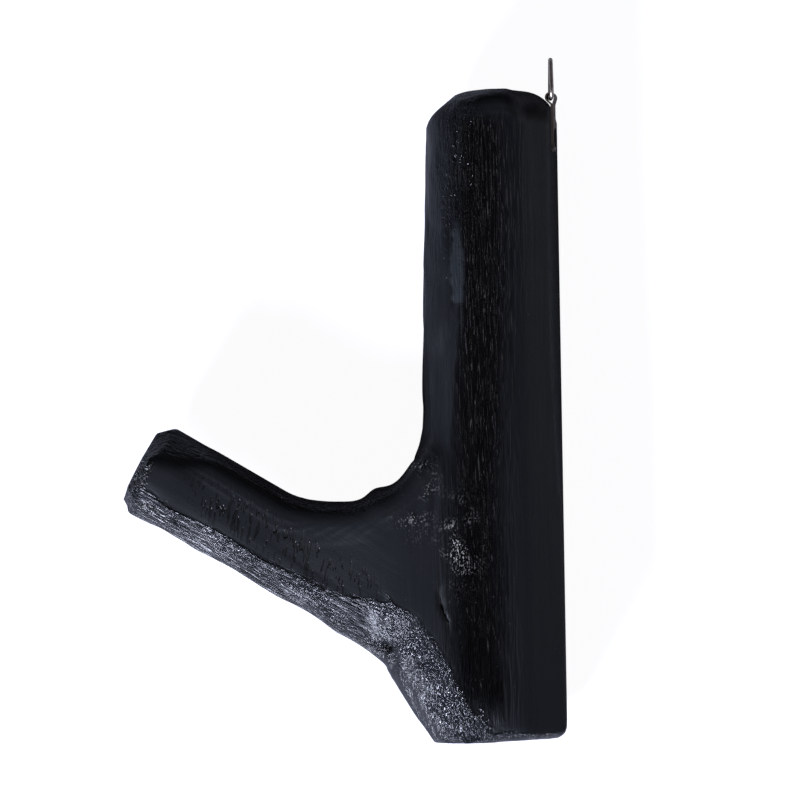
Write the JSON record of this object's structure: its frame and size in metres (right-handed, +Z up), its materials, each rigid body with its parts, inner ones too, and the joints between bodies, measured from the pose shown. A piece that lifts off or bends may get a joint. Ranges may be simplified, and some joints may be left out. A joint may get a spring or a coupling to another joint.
{
  "type": "branch coat hook",
  "caption": "Black-painted coat hook sawn from a forked branch, with a rising prong and a swinging wire ring on its back to hang it by.",
  "frame": {"origin": "on the sawn back, at mid-width, level with the foot", "axes": "+Z up along the stem, +Y out of the sawn back towards the wall, the prong points along -Y, +X along the width"},
  "size_m": [0.0404, 0.1357, 0.2091],
  "materials": {
    "black_paint": "wood under worn satin black paint",
    "nickel_plate": "nickel plated, bright satin",
    "blued_steel": "dark blued, semi-gloss"
  },
  "bodies": {
    "hook": {"hook_branch": "black_paint", "hanger_strap": "nickel_plate", "hanger_tack": "blued_steel"},
    "ring": {"hanger_ring": "nickel_plate"}
  },
  "joints": [
    {"name": "ring_swing", "type": "hinge", "parent": "hook", "child": "ring", "pos_m": [0.00649, -0.00162, 0.1963], "axis": [0.9992, 0.0401, 0], "range_deg": [-153, 63]}
  ]
}
